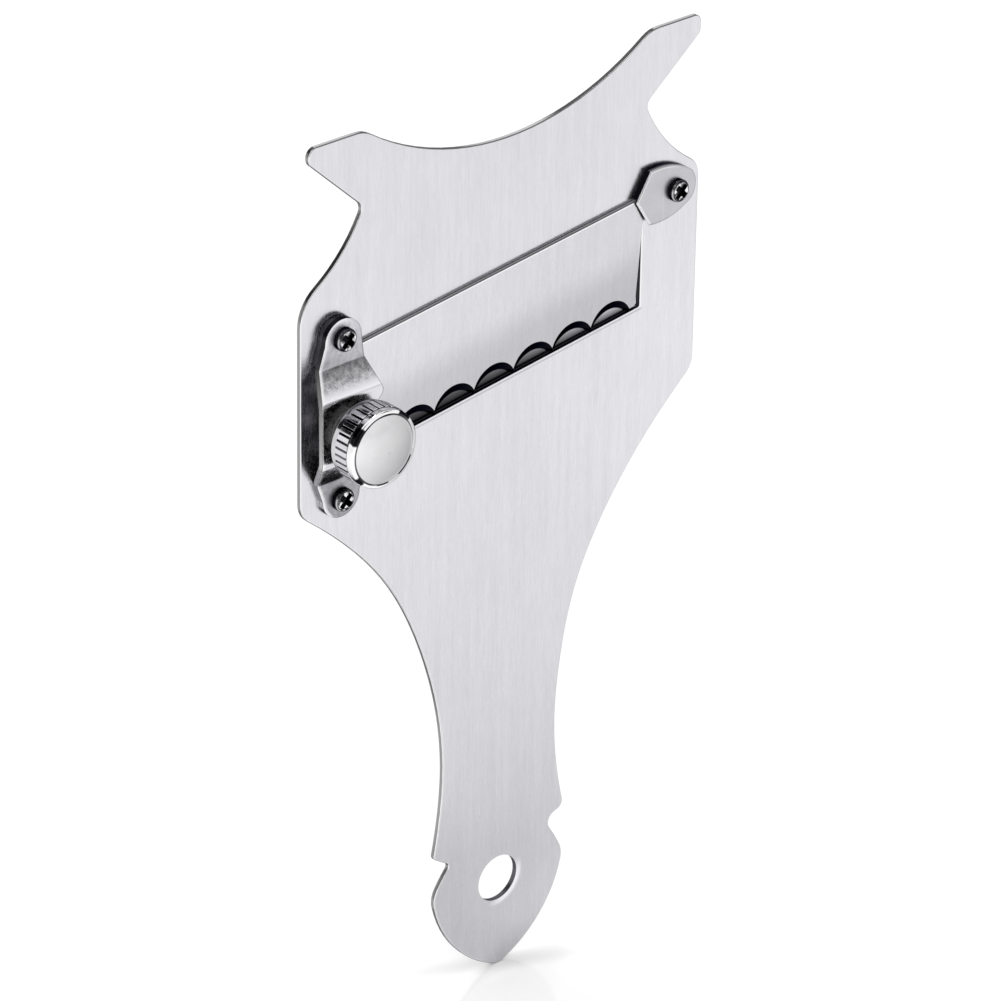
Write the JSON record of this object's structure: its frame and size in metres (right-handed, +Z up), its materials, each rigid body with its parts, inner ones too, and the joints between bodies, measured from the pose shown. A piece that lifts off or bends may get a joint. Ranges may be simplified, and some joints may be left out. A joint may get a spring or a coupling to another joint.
{
  "type": "truffle slicer",
  "caption": "Flat stainless hand slicer with a wave-ground blade rocking in a slanted window, set by a knurled knob on a bridge, with a shaped handle and a hanging hole.",
  "frame": {"origin": "centre of the hanging hole, halfway through the sheet", "axes": "+Z up along the body from the hanging hole to the horns, +X to the right with the knob side facing the viewer, +Y out of the flat slicing face, away from the knob"},
  "size_m": [0.0903, 0.0144, 0.1761],
  "materials": {
    "plate_steel": "long vertical brushing, satin",
    "blade_steel": "fine brushing with dark polished hollow grinds",
    "bridge_nickel": "tumbled nickel plate, faintly mottled",
    "clip_steel": "fine bead blasted satin",
    "knob_chrome": "bright chrome plate, satin dome",
    "screw_steel": "dark bright plated steel",
    "stud_steel": "turned steel",
    "bush_brass": "turned brass",
    "spring_steel": "drawn spring wire",
    "washer_nylon": "moulded nylon"
  },
  "bodies": {
    "body": {"body_plate": "plate_steel", "bridge_bracket": "bridge_nickel", "foot_shim": "bridge_nickel", "bridge_bush": "bush_brass", "bracket_screw_upper": "screw_steel", "bracket_screw_lower": "screw_steel", "end_clip": "clip_steel", "clip_screw": "screw_steel", "friction_spring": "spring_steel"},
    "blade": {"blade": "blade_steel"},
    "washer": {"knob_washer": "washer_nylon"},
    "knob": {"knob": "knob_chrome", "knob_cap": "knob_chrome", "adjuster_stud": "stud_steel", "stud_stop_ring": "spring_steel"}
  },
  "joints": [
    {"name": "knob_travel", "type": "slide", "parent": "body", "child": "washer", "axis": [0, 1, 0], "range_m": [0, 0.0014], "deforming": ["friction_spring"]},
    {"name": "knob_turn", "type": "hinge", "parent": "washer", "child": "knob", "pos_m": [-0.0373, -0.00485, 0.10535], "axis": [0, 1, 0], "range_deg": [0, 720]},
    {"name": "blade_tilt", "type": "hinge", "parent": "body", "child": "blade", "pos_m": [0, -0.0005, 0.12113], "axis": [0.9927, 0, 0.1207], "range_deg": [0, 7.27]}
  ],
  "couplings": [
    {"joint": "knob_travel", "follows": "knob_turn", "m_per_rad": 0.00011141},
    {"joint": "blade_tilt", "follows": "knob_turn", "ratio": 0.010092}
  ]
}
